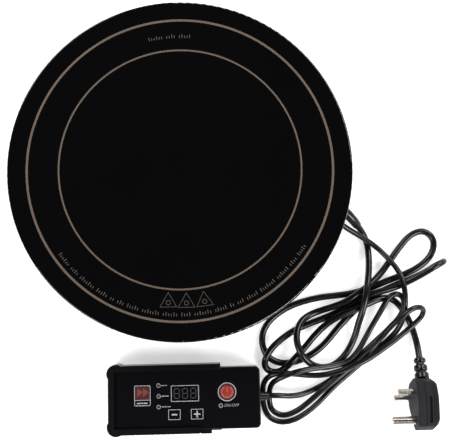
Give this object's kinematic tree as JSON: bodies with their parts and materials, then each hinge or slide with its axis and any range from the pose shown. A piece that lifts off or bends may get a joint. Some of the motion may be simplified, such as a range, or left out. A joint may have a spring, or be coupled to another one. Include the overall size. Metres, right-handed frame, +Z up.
{
  "type": "hot plate burner",
  "caption": "Round drop-in glass hot plate with a wired touch-key controller, its slide-on mounting bracket and a three-pin plug",
  "frame": {"origin": "on the floor, in the middle of the box around the cooker, the controller and its bracket, without the cords and the plug", "axes": "+Z up out of the cooking surface, +Y from the controller towards the cooker, +X towards the side where both cords leave"},
  "size_m": [0.3786, 0.3688, 0.07],
  "materials": {
    "black_glass": "gloss",
    "black_foam": "matte",
    "housing_plastic": "satin",
    "foot_rubber": "matte",
    "screw_steel": "satin",
    "former_plastic": "matte",
    "coil_copper": "satin",
    "ferrite": "matte",
    "mica": "satin",
    "ceramic_fibre": "matte",
    "white_silicone": "matte",
    "circuit_board": "satin",
    "aluminium": "satin",
    "black_package": "satin",
    "capacitor_film": "gloss",
    "choke_winding": "satin",
    "terminal_plastic": "satin",
    "cord_rubber": "satin",
    "case_plastic": "satin",
    "panel_print": "gloss",
    "smoked_window": "gloss",
    "digit_face": "matte",
    "led_lens": "gloss",
    "key_plastic": "gloss",
    "power_key_red": "gloss",
    "bracket_plastic": "satin",
    "plug_plastic": "satin",
    "pin_metal": "satin"
  },
  "bodies": {
    "unit": {"glass_plate": "black_glass", "rim_gasket": "black_foam", "upper_housing": "housing_plastic", "lower_housing": "housing_plastic", "feet": "foot_rubber", "housing_screws": "screw_steel", "coil_former": "former_plastic", "litz_coil": "coil_copper", "ferrite_bars": "ferrite", "mica_sheet": "mica", "insulation_pad": "ceramic_fibre", "thermistor": "white_silicone", "main_board": "circuit_board", "heat_sink": "aluminium", "power_packages": "black_package", "film_capacitors": "capacitor_film", "choke": "choke_winding", "electrolytic_capacitor": "aluminium", "terminal_block": "terminal_plastic", "board_screws": "screw_steel", "fan_frame": "housing_plastic", "fan_screws": "screw_steel", "mains_strain_relief": "cord_rubber", "cable_strain_relief": "cord_rubber", "controller_rear_case": "case_plastic", "controller_front_case": "case_plastic", "panel_sheet": "panel_print", "display_window": "smoked_window", "digit_display": "digit_face", "control_board": "circuit_board", "tact_switches": "black_package", "indicator_leds": "led_lens", "buzzer": "black_package", "controller_screws": "screw_steel", "controller_cable_relief": "cord_rubber", "plug_body": "plug_plastic", "earth_pin": "pin_metal", "line_pin": "pin_metal", "neutral_pin": "pin_metal", "plug_strain_relief": "cord_rubber", "mains_cord": "cord_rubber", "control_cable": "cord_rubber"},
    "fan": {"fan_rotor": "housing_plastic"},
    "bracket": {"mounting_bracket": "bracket_plastic"},
    "mode_button": {"mode_key": "key_plastic"},
    "minus_button": {"minus_key": "key_plastic"},
    "plus_button": {"plus_key": "key_plastic"},
    "power_button": {"power_key": "power_key_red"}
  },
  "joints": [
    {"name": "fan_spin", "type": "hinge", "parent": "unit", "child": "fan", "pos_m": [-0.058, 0.03982, 0.0225], "axis": [0, 0, 1], "continuous": true},
    {"name": "bracket_slide", "type": "slide", "parent": "unit", "child": "bracket", "axis": [-1, 0, 0], "range_m": [0, 0.1]},
    {"name": "mode_press", "type": "slide", "parent": "unit", "child": "mode_button", "axis": [0, 0, -1], "range_m": [0, 0.0004], "stiffness_N_per_m": 1500},
    {"name": "minus_press", "type": "slide", "parent": "unit", "child": "minus_button", "axis": [0, 0, -1], "range_m": [0, 0.0004], "stiffness_N_per_m": 1500},
    {"name": "plus_press", "type": "slide", "parent": "unit", "child": "plus_button", "axis": [0, 0, -1], "range_m": [0, 0.0004], "stiffness_N_per_m": 1500},
    {"name": "power_press", "type": "slide", "parent": "unit", "child": "power_button", "axis": [0, 0, -1], "range_m": [0, 0.0004], "stiffness_N_per_m": 1500}
  ]
}
